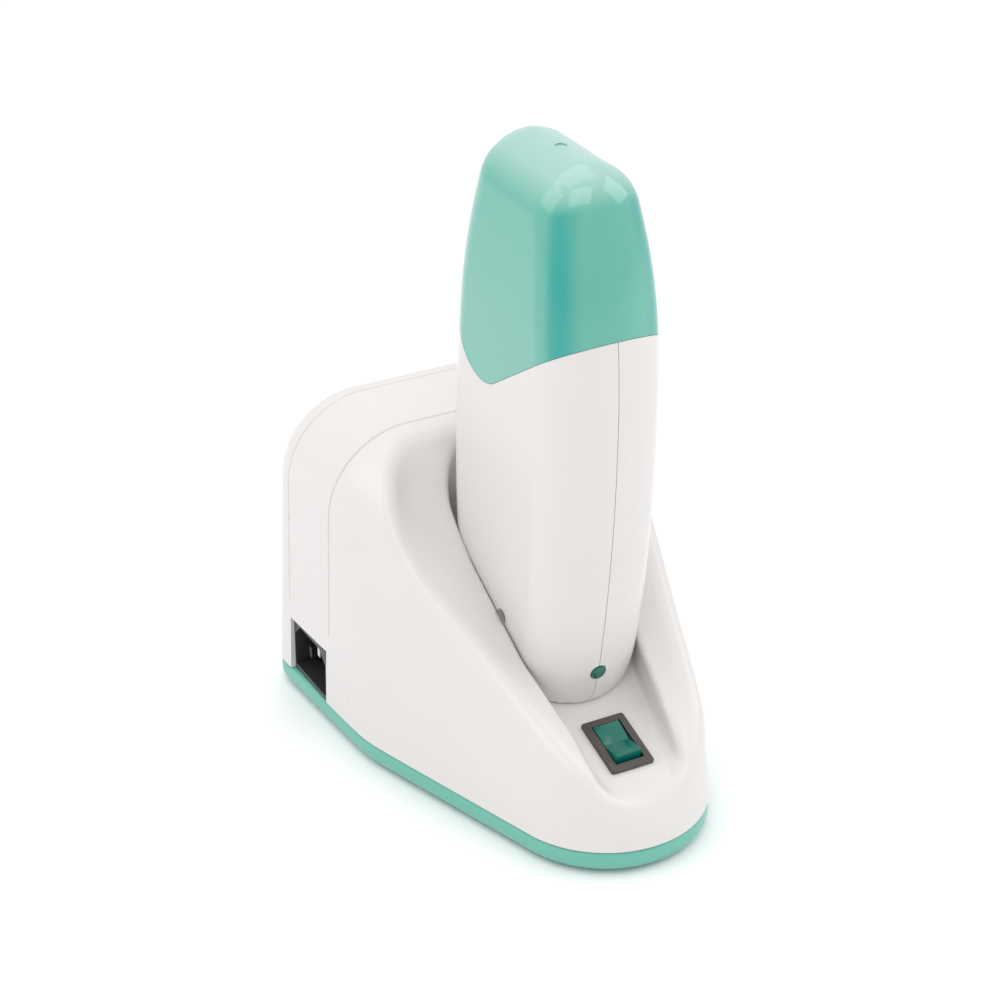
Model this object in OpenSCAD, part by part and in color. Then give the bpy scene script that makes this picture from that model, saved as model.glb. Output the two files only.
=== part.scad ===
// Roll-on wax heater: a desk dock with a round nose and a high rear block,
// a cartridge heater standing upright in its cradle, and a lift-off lid.
// Units are millimetres. +Z is up, the nose points to -Y, the origin lies on
// the table under the middle of the base. Drawn from the centre of the nose
// arc and shifted to the origin at the end.

/* [Dock plan] */
// Radius of the nose in plan at the seam with the base
nose_r = 33.4; // [28:0.1:40]
// Angle of each flank from the centre line
flank_angle = 17.8; // [12:0.1:24]
// Distance from the nose centre back to the side corner
corner_y = 60.2; // [50:0.1:75]
// Taper of the side walls in plan
side_taper = 2.9; // [0:0.1:5]
// Distance from the nose centre back to the rear wall
rear_y = 127; // [115:0.5:145]
// Rounding of the rear corners in plan
corner_r = 10; // [6:0.5:14]

/* [Dock height] */
// Height of the seam between base and dock shell
seam_z = 9; // [7:0.1:12]
// Height of the flat top
block_h = 106.8; // [98:0.1:115]
// Rounding of the long top edges
top_round = 27; // [20:0.5:30]
// Rounding of the rear top edge
rear_round = 9; // [5:0.5:14]
// Draft of the side and rear walls
wall_draft = 1.7; // [0.5:0.1:3]
// Draft of the flanks and nose
flank_draft = 4.9; // [2:0.1:7]
// Wall thickness of the dock shell
dock_wall = 2.6; // [2:0.1:3.4]

/* [Rim and funnel] */
// Radius of the rim line in side view
roof_r = 150; // [140:1:170]
// Half angle of the conical funnel
scoop_half = 42; // [38:0.5:46]
// Slope of the funnel floor line
scoop_slope = 30; // [26:0.5:34]
// Lean of the brow in front of the flat top
brow_tilt = 57; // [50:1:65]
// Half width of the funnel shaft cut into the block
shaft_half = 47; // [44:0.5:49]

/* [Cradle] */
// Slope of the switch panel
panel_slope = 16.6; // [12:0.1:20]
// Slope of the cradle floor
floor_slope = 30; // [26:0.5:34]
// Half width of the cradle
cradle_half = 19.8; // [18:0.1:20.4]
// Gap between the heater underside and the cradle floor
seat_gap = 1.2; // [1:0.1:2.5]

/* [Handset] */
// Half width of the handset
hand_half = 20; // [19:0.1:20.5]
// Front face of the handset at its fullest, from the nose centre
hand_front = -4.3; // [-5:0.1:-3]
// Rear face of the handset at its fullest, from the nose centre
hand_rear = 71.6; // [68:0.1:72]
// Top of the lid above the table
lid_top = 214.4; // [205:0.1:220]
// Radius of the lid crown in side view
crown_r = 14.5; // [14.5:0.5:22]
// Wall thickness of the handset shells
hand_wall = 2.1; // [1.6:0.1:2.6]
// Wall thickness of the lid
lid_wall = 1.8; // [1.4:0.1:2]
// Lowest point of the lid on the sides
lobe_z = 139; // [134:0.5:146]
// Lid edge at the front
lid_front_z = 167; // [160:0.5:172]

/* [Switch] */
// Width of the switch bezel
bezel_w = 15; // [15:0.1:17]
// Length of the switch bezel
bezel_l = 21; // [21:0.1:23]
// Tilt of the rocker either side of level
rocker_tilt = 8; // [5:0.5:10]

/* [Inlet] */
// Width of the opening for the mains inlet
inlet_w = 25.2; // [25.2:0.1:27]
// Top of the inlet opening above the table
inlet_top = 28.8; // [28.8:0.1:30]

/* [Hidden] */
$fn = 96;
e = 0.01;
// plan
hw_corner = nose_r * cos(flank_angle)
    + (corner_y + nose_r * sin(flank_angle)) * tan(flank_angle);
mid_y = (rear_y - nose_r) / 2;
graze = 0.03;
// roof line in side view: centre of the arc
roof_y = 86.5;
roof_z = -68.2 + (150 - roof_r);
brow_y = 50;
brow_z = 78;
collar_y = 79;
shaft_r = 22;
// funnel apex, in front of the nose
scoop_y = -41.6;
scoop_z = 16.9;
scoop_h = 240;
// switch panel and cradle floor
switch_y = -8;
switch_z = 30.9;
knee_y = 7;
knee_z = switch_z + (knee_y - switch_y) * tan(panel_slope);
floor_end_y = 71;
floor_end_z = knee_z + (floor_end_y - knee_y) * tan(floor_slope);
trough_front = -29;
trough_rear = 76;
trough_r = 13;
front_half = 14.4;
front_r = 10;
// grooves
groove_w = 0.8;
groove_d = 0.5;
groove_y = [84.9, 112.7];
groove_z = 35;
// inlet
inlet_y = 99.5;
inlet_gap = 0.1;
inlet_x = -(hw_corner + (inlet_y - corner_y) * tan(side_taper))
    + tan(wall_draft) * (inlet_top - seam_z) / 2;
lead_r = 0.9;
pin_w = 4;
pin_t = 2;
pin_l = 26;
// base
base_bottom = 1.2;
base_floor = 2.4;
base_lip = 2.6;
foot_r = 6;
boss_r = 3.6;
boss_top = 24;
bosses = [[13, -14], [-13, -14], [46, 119], [-46, 119]];
// switch
rocker_w = 9.2;
rocker_l = 14.6;
switch_body_w = 12.8;
switch_body_l = 18.8;
bezel_t = 1.4;
pocket_side = 0.45;
pocket_end = 0.75;
pocket_deep = 9.5;
pivot_drop = 2.5;
pivot_r = 1;
pivot_out = 0.75;
// handset sweep
sweep_z = 143;
front_low_r = 510;
front_up_r = 215;
rear_r = 515;
rear_z = 98;
crown_y = 31.5;
axis_y = 33;
nose_arc = 28;
edge_r = 8;
toe_r = 56;
toe_top = 53;
toe_lean = asin((sweep_z - toe_top) / front_low_r);
toe_at = [hand_front + front_low_r - (front_low_r - toe_r) * cos(toe_lean),
    sweep_z - (front_low_r - toe_r) * sin(toe_lean)];
function toe_line(y) = toe_at[1] + (y - toe_at[0]) * tan(toe_lean);
crown_z = lid_top - crown_r;
f_phi = asin((crown_z - sweep_z) / (front_up_r - crown_r));
crown_f = hand_front + front_up_r - (front_up_r - crown_r) * cos(f_phi);
r_phi = asin((crown_z - rear_z) / (rear_r - crown_r));
crown_b = hand_rear - rear_r + (rear_r - crown_r) * cos(r_phi);
mid_plane = 31.7;
flare_z = 95;
flare_r = 800;
taper_z = 160;
taper_r = 250;
keel_half = hand_half - 1.1;
keel_r = 12;
hull_y = 8.5;
hull_z = switch_z + (hull_y - switch_y) * tan(panel_slope) + seat_gap;
neck_top = 172;
neck_in = 2.4;
neck_wall = 1.5;
// chamber and cartridge
chamber_x = 15.2;
chamber_y = 26;
chamber_r = 9;
chamber_wall = 0.9;
chamber_bottom = 80;
chamber_top = 170;
pack_gap = 0.4;
roller_r = 9.5;
roller_l = 38;
roller_z = 177;
// contacts
post_x = 6;
post_y = 23;
post_r = 1.5;
shank_r = 2.3;
post_gap = 0.1;
post_top = 57;
socket_z = 53.8;
block_z = 31;
block_t = 7.5;
// indicator
led_z = 50.5;
led_y = 4.3;
led_lean = 13;
led_r = 2.6;
// shell screws across the handset: [y, z, length]
screws = [[31, 62, 22]];

white = [0.93, 0.92, 0.90];
mint = [0.49, 0.78, 0.70];
dark = [0.28, 0.26, 0.24];
metal = [0.78, 0.78, 0.76];
brass = [0.80, 0.66, 0.36];

// ---------- helpers ----------

// a flat shape drawn in (y, z), made w wide across X
module across(w) rotate([90, 0, 90]) linear_extrude(height = w, center = true) children();

// a flat shape drawn in (x, z), running from y0 to y1
module along(y0, y1) translate([0, y1, 0]) rotate([90, 0, 0])
    linear_extrude(height = y1 - y0) children();

// from nose-arc coordinates to the part frame
module home() translate([0, -mid_y, 0]) children();

// a round bar between two points
module bar(a, b, r) {
    d = b - a;
    l = norm(d);
    translate(a) rotate([0, acos(d[2] / l), atan2(d[1], d[0])]) cylinder(h = l, r = r);
}

// a lead: bars with a ball at each bend
module lead(p, r) {
    for (i = [0:len(p) - 2]) bar(p[i], p[i + 1], r);
    if (len(p) > 2) for (i = [1:len(p) - 2]) translate(p[i]) sphere(r = r * 1.06);
}

// rounded rectangle: half sizes a, b, corner radius r
module round_rect(a, b, r) {
    square([2 * a, 2 * (b - r)], center = true);
    square([2 * (a - r), 2 * b], center = true);
    for (sx = [-1, 1], sy = [-1, 1]) translate([sx * (a - r), sy * (b - r)]) circle(r = r);
}

// ---------- dock ----------

// outer half space of a wall standing at the origin, leaning in by lean
module wall_off(lean) rotate([0, -lean, 0]) translate([0, -300, -120]) cube([120, 600, 400]);

// rear corner in plan: centre [x, y] and radius, for a given inset
function corner_at(inset) = let (rc = corner_r - min(inset, corner_r - 2),
    yc = rear_y - inset - rc,
    d = hw_corner * cos(side_taper) - corner_y * sin(side_taper) - inset)
    [(d - rc + yc * sin(side_taper)) / cos(side_taper), yc, rc];

// the footprint as a solid from z0 to z1; inset is measured at z_ref
module footprint(z0, z1, z_ref, inset, lean_f, lean_s) {
    c = corner_at(inset);
    translate([0, 0, z0]) cylinder(h = z1 - z0,
        r1 = nose_r - inset - tan(lean_f) * (z0 - z_ref),
        r2 = nose_r - inset - tan(lean_f) * (z1 - z_ref));
    difference() {
        difference() {
            translate([-90, -nose_r * sin(flank_angle) + 2.5, z0])
                cube([180, rear_y + 60, z1 - z0]);
            for (m = [0, 1]) mirror([m, 0, 0]) {
                rotate([0, 0, -flank_angle])
                    translate([nose_r - inset - graze, 0, z_ref]) wall_off(lean_f);
                translate([hw_corner, corner_y, z_ref]) rotate([0, 0, -side_taper])
                    translate([-inset, 0, 0]) wall_off(lean_s);
            }
            translate([0, rear_y - inset, z_ref]) rotate([lean_s, 0, 0])
                translate([-100, 0, -120]) cube([200, 120, 400]);
        }
        for (m = [0, 1]) mirror([m, 0, 0]) translate([c[0], c[1], z0 - 1]) difference() {
            cube([c[2] + 12, c[2] + 12, z1 - z0 + 2]);
            cylinder(h = z1 - z0 + 3,
                r1 = c[2] + graze - tan(lean_s) * (z0 - 1 - z_ref),
                r2 = c[2] + graze - tan(lean_s) * (z1 + 2 - z_ref));
        }
    }
}

// long top edges and rear top edge, rounded
module top_edges(t) {
    h = block_h - t;
    r = top_round - t;
    q = rear_round - min(t, rear_round - 3);
    for (m = [0, 1]) mirror([m, 0, 0])
        translate([hw_corner, corner_y, 0]) rotate([0, 0, -side_taper])
            translate([-t - tan(wall_draft) * (h - r - seam_z) - r, -60, h - r])
                difference() {
                    cube([r + 8, 220, r + 8]);
                    rotate([-90, 0, 0]) translate([0, 0, -1]) cylinder(h = 222, r = r + graze);
                }
    translate([0, rear_y - t - tan(wall_draft) * (h - q - seam_z) - q, h - q])
        difference() {
            translate([-100, 0, 0]) cube([200, q + 8, q + 8]);
            rotate([0, 90, 0]) cylinder(h = 210, r = q + graze, center = true);
        }
}

// what lies above the rim line in front of the brow
module above_rim(t) difference() {
    translate([-90, -90, 5]) cube([180, 166, 140]);
    translate([0, roof_y, roof_z]) rotate([0, 90, 0])
        cylinder(h = 200, r = roof_r - t, center = true, $fn = 360);
    translate([0, brow_y + t / sin(brow_tilt), brow_z]) rotate([brow_tilt - 90, 0, 0])
        translate([-100, 0, -200]) cube([200, 300, 400]);
}

// the full dock form, inset by t
module dock_mass(t, z0) difference() {
    footprint(z0, block_h - t, seam_z, t, flank_draft, wall_draft);
    top_edges(t);
    above_rim(t);
}

// conical funnel around the cradle, grown by t
module funnel(t) intersection() {
    translate([0, scoop_y, scoop_z]) rotate([scoop_slope + scoop_half - 90, 0, 0])
        translate([0, 0, -t / sin(scoop_half)])
            cylinder(h = scoop_h, r1 = 0, r2 = scoop_h * tan(scoop_half));
    translate([0, collar_y, block_h]) rotate([brow_tilt - 90, 0, 0])
        translate([0, 0, -150]) linear_extrude(height = 230) {
            translate([-shaft_half - t, -190]) square([2 * (shaft_half + t), 190 - shaft_r]);
            translate([-shaft_half + shaft_r, -190])
                square([2 * (shaft_half - shaft_r), 190 + t]);
            for (s = [-1, 1]) translate([s * (shaft_half - shaft_r), -shaft_r])
                circle(r = shaft_r + t);
        }
}

// cradle outline in plan, grown by t
module trough_plan(t) {
    c = cradle_half + t;
    f = front_half - front_r;
    polygon([[-front_half - t, trough_front + front_r], [-f, trough_front - t],
        [f, trough_front - t], [front_half + t, trough_front + front_r],
        [c, 16], [c, trough_rear - trough_r], [-c, trough_rear - trough_r], [-c, 16]]);
    for (s = [-1, 1]) {
        translate([s * f, trough_front + front_r]) circle(r = front_r + t);
        translate([s * (cradle_half - trough_r), trough_rear - trough_r])
            circle(r = trough_r + t);
    }
    translate([-cradle_half + trough_r, 30])
        square([2 * (cradle_half - trough_r), trough_rear + t - 30]);
}

// the cradle: panel, floor and rear wall, grown by t
module trough(t) intersection() {
    translate([0, 0, 10]) linear_extrude(height = 140) trough_plan(t);
    across(80) polygon([
        [-45, switch_z + (-45 - switch_y) * tan(panel_slope) - t],
        [knee_y, knee_z - t], [floor_end_y + t / 2, floor_end_z - t],
        [trough_rear + t, floor_end_z + 26], [trough_rear + t, 160], [-45, 160]]);
}

module on_panel() translate([0, switch_y, switch_z]) rotate([panel_slope, 0, 0]) children();

module dock_shell() color(white) home() {
    difference() {
        dock_mass(0, seam_z);
        funnel(0);
        trough(0);
        difference() {
            dock_mass(dock_wall, seam_z - 2);
            funnel(dock_wall);
            trough(dock_wall);
        }
        // bright lines pressed into the block
        difference() {
            for (y = groove_y) translate([-80, y - groove_w / 2, groove_z])
                cube([160, groove_w, 100]);
            dock_mass(groove_d, seam_z);
        }
        // openings
        on_panel() translate([-switch_body_w / 2 - 0.2, -switch_body_l / 2 - 0.2, -8])
            cube([switch_body_w + 0.4, switch_body_l + 0.4, 20]);
        translate([-80, inlet_y - inlet_w / 2, seam_z - 1])
            cube([45, inlet_w, inlet_top - seam_z + 1]);
        for (s = [-1, 1]) translate([s * post_x, post_y, 30])
            cylinder(h = 40, r = shank_r + 0.5);
    }
    // screw bosses
    for (b = bosses) difference() {
        union() {
            translate([b[0], b[1], seam_z]) cylinder(h = boss_top - seam_z, r = boss_r);
            if (b[1] > 0) {
                translate([b[0], b[1], seam_z])
                    translate([b[0] > 0 ? 0 : -9, -1, 3]) cube([9, 2, boss_top - seam_z - 3]);
                translate([b[0] - 1, b[1], seam_z + 3]) cube([2, 5.6, boss_top - seam_z - 3]);
            } else translate([b[0], b[1], boss_top - 1])
                cylinder(h = 4.6, r = boss_r);
        }
        translate([b[0], b[1], seam_z - 1]) cylinder(h = 12, r = 1.3);
    }
    // pegs for the contact block
    for (s = [-1, 1]) translate([s * 14, post_y, block_z])
        cylinder(h = knee_z + (post_y - knee_y) * tan(floor_slope) - block_z - 1, r = 1.6);
}

module base_plate() color(mint) home() difference() {
    intersection() {
        footprint(base_bottom, seam_z, seam_z, 0.15, 0, 0);
        footprint(base_bottom, seam_z, base_bottom + 2.6, 0.1, -42, -42);
    }
    difference() {
        footprint(base_bottom + base_floor, seam_z + 1, seam_z, base_lip, 0, 0);
        for (b = bosses) translate([b[0], b[1], 0]) cylinder(h = seam_z, r = boss_r);
        translate([inlet_x - 2, inlet_y - 13, 0]) cube([20, 26, seam_z - 0.1]);
    }
    for (b = bosses) translate([b[0], b[1], 0]) {
        cylinder(h = 20, r = 1.7);
        cylinder(h = base_bottom + 2.2, r = 3.2);
    }
}

foot_at = [[18, -8], [-18, -8], [45, 106], [-45, 106]];

module rubber_feet() color([0.2, 0.2, 0.2]) home()
    for (f = foot_at) translate([f[0], f[1], 0]) cylinder(h = base_bottom, r = foot_r);

module base_screws() color(metal) home()
    for (b = bosses) translate([b[0], b[1], 0]) difference() {
        union() {
            translate([0, 0, base_bottom + 2.2]) cylinder(h = 13, r = 1.3);
            translate([0, 0, base_bottom + 0.5]) cylinder(h = 1.7, r = 2.8);
        }
        translate([-0.4, -1.8, 0]) cube([0.8, 3.6, base_bottom + 1.2]);
        translate([-1.8, -0.4, 0]) cube([3.6, 0.8, base_bottom + 1.2]);
    }

// outline of the inlet socket in (y, z) about its centre
module socket_face(w, h, c) polygon([[-w / 2, -h / 2], [w / 2, -h / 2],
    [w / 2, h / 2 - c], [w / 2 - c, h / 2], [-w / 2 + c, h / 2], [-w / 2, h / 2 - c]]);

inlet_cz = (seam_z + inlet_top) / 2;

module at_inlet() translate([inlet_x, inlet_y, inlet_cz]) children();

module inlet_body() color(dark) home() at_inlet() difference() {
    union() {
        translate([0.8 + 11, 0, 0]) across(22)
            square([inlet_w - 2 * inlet_gap, inlet_top - seam_z - 2 * inlet_gap], center = true);
        translate([dock_wall + 1.6, 0, 0]) across(2)
            translate([0, 0.5]) square([inlet_w + 2.4, inlet_top - seam_z + 0.8], center = true);
    }
    translate([0.8 + 7, 0, 0]) across(16) socket_face(inlet_w - 1.2, 16.4, 4.4);
    // slots that take the pins
    for (s = [-1, 0, 1]) translate([20, s * 7, s == 0 ? 2 : -2])
        cube([12, pin_t, pin_w], center = true);
}

module inlet_pins() color(metal) home() at_inlet()
    for (s = [-1, 0, 1]) translate([4 + pin_l / 2, s * 7, s == 0 ? 2 : -2])
        cube([pin_l, pin_t, pin_w], center = true);

module switch_body() color(dark) home() on_panel() difference() {
    union() {
        translate([-bezel_w / 2, -bezel_l / 2, 0]) cube([bezel_w, bezel_l, bezel_t]);
        translate([-switch_body_w / 2, -switch_body_l / 2, -12])
            cube([switch_body_w, switch_body_l, 12 + e]);
    }
    translate([-rocker_w / 2 - pocket_side, -rocker_l / 2 - pocket_end, -pocket_deep])
        cube([rocker_w + 2 * pocket_side, rocker_l + 2 * pocket_end, 20]);
    for (s = [-1, 0, 1]) translate([0, s * 6, -11]) cube([4.8, 0.8, 4], center = true);
    translate([0, 0, -pivot_drop]) rotate([0, 90, 0])
        cylinder(h = rocker_w + 2 * pivot_out + 0.3, r = pivot_r + 0.05, center = true);
}

module switch_terminals() color(brass) home() on_panel()
    for (s = [-1, 0, 1]) translate([0, s * 6, -12.5]) difference() {
        cube([4.8, 0.8, 7], center = true);
        translate([0, 0, -2]) rotate([90, 0, 0]) cylinder(h = 3, r = 0.8, center = true);
    }

// rocker: two faces meeting at a crease, front end standing up
module rocker() color([0.0, 0.42, 0.36]) home() on_panel()
    translate([0, 0, -pivot_drop]) rotate([-rocker_tilt, 0, 0]) {
        across(rocker_w) polygon([[-rocker_l / 2, 5.2], [0, 3.3], [rocker_l / 2, 5.2],
            [rocker_l / 2, 1], [5, -4.4], [-5, -4.4], [-rocker_l / 2, 1]]);
        rotate([0, 90, 0]) cylinder(h = rocker_w + 2 * pivot_out, r = pivot_r, center = true);
    }

module contact_block() color(dark) home() difference() {
    translate([-17, post_y - 5, block_z]) cube([34, 10, block_t]);
    for (s = [-1, 1]) {
        translate([s * 14, post_y, 30]) cylinder(h = 20, r = 1.65);
        translate([s * post_x, post_y, 30]) cylinder(h = 20, r = shank_r);
    }
}

module contact_posts() color(brass) home()
    for (s = [-1, 1]) translate([s * post_x, post_y, 30]) {
        cylinder(h = socket_z - 30, r = shank_r);
        cylinder(h = post_top - 31, r = post_r);
        translate([0, 0, post_top - 31]) cylinder(h = 1, r1 = post_r, r2 = 0.8);
    }

// foot of each switch terminal, and the rear end of each inlet pin
function tab(k) = [0, switch_y + k * 6 * cos(panel_slope) + 16 * sin(panel_slope),
    switch_z + k * 6 * sin(panel_slope) - 16 * cos(panel_slope)];
function pin_end(k) = [inlet_x + pin_l + 4 + lead_r, inlet_y + k * 7, inlet_cz + (k == 0 ? 2 : -2)];

module dock_leads() color([0.45, 0.2, 0.15]) home() {
    lead([pin_end(-1), [-12, 40, 12], tab(1) + [0, 0.4 + lead_r, -2]], lead_r);
    lead([tab(0) + [0, 0.4 + lead_r, -2], [post_x, post_y - 8, 20], [post_x, post_y, 29]],
        lead_r);
    lead([pin_end(1), [-post_x, 60, 20], [-post_x, post_y, 29]], lead_r);
}

// ---------- handset ----------

// cross section in (x, depth): a gentle arc with rounded corners, inset by t
module section(t) {
    half = hand_half - t;
    fx = hand_half - edge_r;
    fy = nose_arc - sqrt(pow(nose_arc - edge_r, 2) - fx * fx);
    intersection() {
        translate([0, nose_arc]) circle(r = nose_arc - t);
        polygon([[0, nose_arc], [3 * fx, nose_arc - 3 * (nose_arc - fy)],
            [-3 * fx, nose_arc - 3 * (nose_arc - fy)]]);
    }
    for (s = [-1, 1]) translate([s * fx, fy]) circle(r = edge_r - t);
    polygon([[-half, fy], [-fx, fy], [0, nose_arc], [fx, fy], [half, fy],
        [half, 60], [-half, 60]]);
}

// the section carried round an axis along X at (y, z); radius r, start angle a
module wheel(y, z, r, t) translate([0, y, z]) rotate([0, -90, 0])
    rotate_extrude($fn = 360) intersection() {
        rotate([0, 0, 90]) translate([0, -r]) section(t);
        translate([max(e, r - 58), -60]) square([110, 120]);
    }

// width of the handset in the front view, inset by t
module width_profile(t) {
    h = hand_half - t;
    intersection() {
        translate([-h, 0]) square([2 * h, lid_top + 10]);
        union() {
            translate([-60, flare_z]) square([120, 200]);
            for (s = [-1, 1]) intersection() {
                translate([s * (h - flare_r), flare_z]) circle(r = flare_r, $fn = 360);
                translate([s < 0 ? -60 : -e, 20]) square([60 + e, flare_z - 19]);
            }
        }
        union() {
            translate([-60, 0]) square([120, taper_z]);
            for (s = [-1, 1]) intersection() {
                translate([s * (h - taper_r), taper_z]) circle(r = taper_r, $fn = 360);
                translate([s < 0 ? -60 : -e, taper_z - 1]) square([60 + e, 80]);
            }
        }
    }
}

// front, crown and rear faces of the handset as one belt of tangent sweeps
module belt(t) {
    intersection() {
        wheel(toe_at[0], toe_at[1], toe_r, t);
        across(90) polygon([[-90, 20], [mid_plane, 20], [mid_plane, toe_line(mid_plane)],
            [-90, toe_line(-90)]]);
    }
    intersection() {
        wheel(hand_front + front_low_r, sweep_z, front_low_r, t);
        across(90) polygon([[-90, toe_line(-90)], [mid_plane, toe_line(mid_plane)],
            [mid_plane, sweep_z], [-90, sweep_z]]);
    }
    intersection() {
        wheel(hand_front + front_up_r, sweep_z, front_up_r, t);
        across(90) polygon([[-90, sweep_z], [mid_plane, sweep_z], [mid_plane, crown_z],
            [crown_f, crown_z], [crown_f - 60, crown_z + 60 * tan(f_phi)], [-90, 190]]);
    }
    intersection() {
        wheel(crown_f, crown_z, crown_r, t);
        across(90) polygon([[crown_f, crown_z], [crown_f - 60, crown_z + 60 * tan(f_phi)],
            [crown_f - 60, 260], [crown_f, 260]]);
    }
    along(crown_f, crown_b) intersection() {
        translate([0, lid_top]) mirror([0, 1]) section(t);
        translate([-50, crown_z]) square([100, 60]);
    }
    intersection() {
        wheel(crown_b, crown_z, crown_r, t);
        across(90) polygon([[crown_b, crown_z], [crown_b + 60, crown_z + 60 * tan(r_phi)],
            [crown_b + 60, 260], [crown_b, 260]]);
    }
    intersection() {
        wheel(hand_rear - rear_r, rear_z, rear_r, t);
        across(90) polygon([[mid_plane, 20], [130, 20], [130, crown_z],
            [crown_b + 60, crown_z + 60 * tan(r_phi)], [crown_b, crown_z],
            [mid_plane, crown_z]]);
    }
}

// underside: a keel with a flat middle and rounded corners, running up to the rear
module keel(t) translate([0, hull_y, hull_z]) rotate([floor_slope, 0, 0]) along(-60, 140) {
    f = keel_half - keel_r;
    w = hand_half + 0.2 - t;
    polygon([[-f, t], [f, t], [keel_half - t, keel_r], [w, keel_r], [w, 220],
        [-w, 220], [-w, keel_r], [t - keel_half, keel_r]]);
    for (s = [-1, 1]) translate([s * f, keel_r]) circle(r = keel_r - t);
}

module hand_form(t) intersection() {
    belt(t);
    along(-30, 90) width_profile(t);
    translate([-40, -30, hull_z + t]) cube([80, 120, 200]);
    keel(t);
}

// region under the lid edge in side view, lowered by d
module below_edge(d) across(90) difference() {
    translate([-40, 0]) square([140, lid_front_z + 30 - d]);
    translate([43, lobe_z + 15 - d]) circle(r = 15);
    polygon([[-40, lid_front_z + 24 - d], [-4, lid_front_z - d], [34, lobe_z + 3 - d],
        [52, lobe_z + 3.2 - d], [62, lobe_z + 17 - d], [72, lid_front_z - 4 - d],
        [110, lid_front_z - 2 - d], [110, 260], [-40, 260]]);
}

module shell_pair() difference() {
    union() {
        intersection() { hand_form(0); below_edge(0.15); }
        intersection() {
            hand_form(neck_in);
            translate([-40, -30, 120]) cube([80, 120, neck_top - 120]);
        }
    }
    intersection() { hand_form(hand_wall); below_edge(3); }
    hand_form(neck_in + neck_wall);
    // indicator hole, contact holes, screw recesses
    at_led() translate([0, 0, -12]) cylinder(h = 20, r = led_r + 0.1);
    for (s = [-1, 1]) translate([s * post_x, post_y, 30]) cylinder(h = 40, r = shank_r + 0.8);
    for (k = screws) translate([0, k[0], k[1]]) rotate([0, 90, 0]) {
        translate([0, 0, -40]) cylinder(h = 40 - k[2] / 2, r = 2.6);
        cylinder(h = 60, r = 1.3, center = true);
    }
}

module half(s) intersection() {
    shell_pair();
    translate([s > 0 ? 0 : -40, -30, 20]) cube([40, 120, 200]);
}

// inner ribs: a shelf under the chamber and rests for the contact socket
module ribs(s) intersection() {
    union() {
        difference() {
            translate([-30, -20, chamber_bottom - 2.4]) cube([60, 110, 2.4]);
            translate([-11, axis_y - chamber_y - 4.6, chamber_bottom - 5])
                cube([22, 2 * chamber_y + 8.6, 8]);
        }
        for (m = [-1, 1]) translate([m > 0 ? 8.8 : -10, post_y - 3, socket_z - 8])
            cube([1.2, 6, 8]);
    }
    hand_form(hand_wall - 0.3);
    translate([s > 0 ? 0 : -40, -30, 20]) cube([40, 120, 200]);
}

module left_shell() color(white) home() { half(-1); lower_post(-1); ribs(-1); }
module right_shell() color(white) home() { half(1); lower_post(1); ribs(1); }

// the lower screw post joins the two shells under the chamber
module lower_post(s) intersection() {
    difference() {
        translate([0, screws[0][0], screws[0][1]]) rotate([0, 90, 0])
            cylinder(h = 60, r = 3.9, center = true);
        translate([0, screws[0][0], screws[0][1]]) rotate([0, 90, 0]) {
            translate([0, 0, -40]) cylinder(h = 40 - screws[0][2] / 2, r = 2.6);
            cylinder(h = 70, r = 1.3, center = true);
        }
    }
    hand_form(hand_wall - 0.3);
    translate([s > 0 ? 0 : -40, -30, 20]) cube([40, 120, 200]);
}

module shell_screws() color(metal) home() translate([0, screws[0][0], screws[0][1]])
    rotate([0, 90, 0]) difference() {
        union() {
            translate([0, 0, -screws[0][2] / 2]) cylinder(h = screws[0][2], r = 1.3);
            translate([0, 0, -screws[0][2] / 2 - 1.8]) cylinder(h = 1.8, r = 2.4);
        }
        translate([-0.4, -1.6, -screws[0][2] / 2 - 3]) cube([0.8, 3.2, 2.1]);
        translate([-1.6, -0.4, -screws[0][2] / 2 - 3]) cube([3.2, 0.8, 2.1]);
    }

module at_led() translate([0, led_y, led_z]) rotate([90 + led_lean, 0, 0]) children();

module indicator_lens() color([0.0, 0.5, 0.35]) home() at_led() {
    translate([0, 0, -5]) cylinder(h = 5.3, r = led_r);
    translate([0, 0, 0.3]) cylinder(h = 0.7, r1 = led_r, r2 = led_r - 1, $fn = 12);
    translate([0, 0, -6.2]) cylinder(h = 1.2, r = led_r + 1);
}

module indicator_lamp() color([0.85, 0.3, 0.2]) home() at_led() {
    translate([0, 0, -10.2]) cylinder(h = 3.9, r = 1.6);
    translate([-3, -3, -11.4]) cube([6, 6, 1.2]);
}

module heating_chamber() color(metal) home() translate([0, axis_y, 0]) difference() {
    translate([0, 0, chamber_bottom]) linear_extrude(height = chamber_top - chamber_bottom)
        round_rect(chamber_x, chamber_y, chamber_r);
    translate([0, 0, chamber_bottom + chamber_wall])
        linear_extrude(height = chamber_top - chamber_bottom)
            round_rect(chamber_x - chamber_wall, chamber_y - chamber_wall,
                chamber_r - chamber_wall);
}

module heater_plates() color([0.75, 0.62, 0.4]) home()
    for (s = [-1, 1]) translate([0, axis_y + s * (chamber_y + 1.4), 118])
        cube([12, 2.8, 44], center = true);

module thermostat() color([0.72, 0.72, 0.7]) home() translate([0, 40, chamber_bottom]) {
    translate([0, 0, -4.6]) cylinder(h = 4.6, r = 7.5);
    for (s = [-1, 1]) translate([s * 4.5, 0, -6.6]) cube([0.8, 4, 4.2], center = true);
}

module thermal_fuse() color([0.8, 0.74, 0.6]) home() translate([0, 24, chamber_bottom - 2.2]) {
    rotate([0, 90, 0]) cylinder(h = 10, r = 2, center = true);
    rotate([0, 90, 0]) cylinder(h = 16, r = 0.5, center = true);
    translate([-2.5, -1.6, 1.4]) cube([5, 3.2, 0.8]);
}

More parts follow.
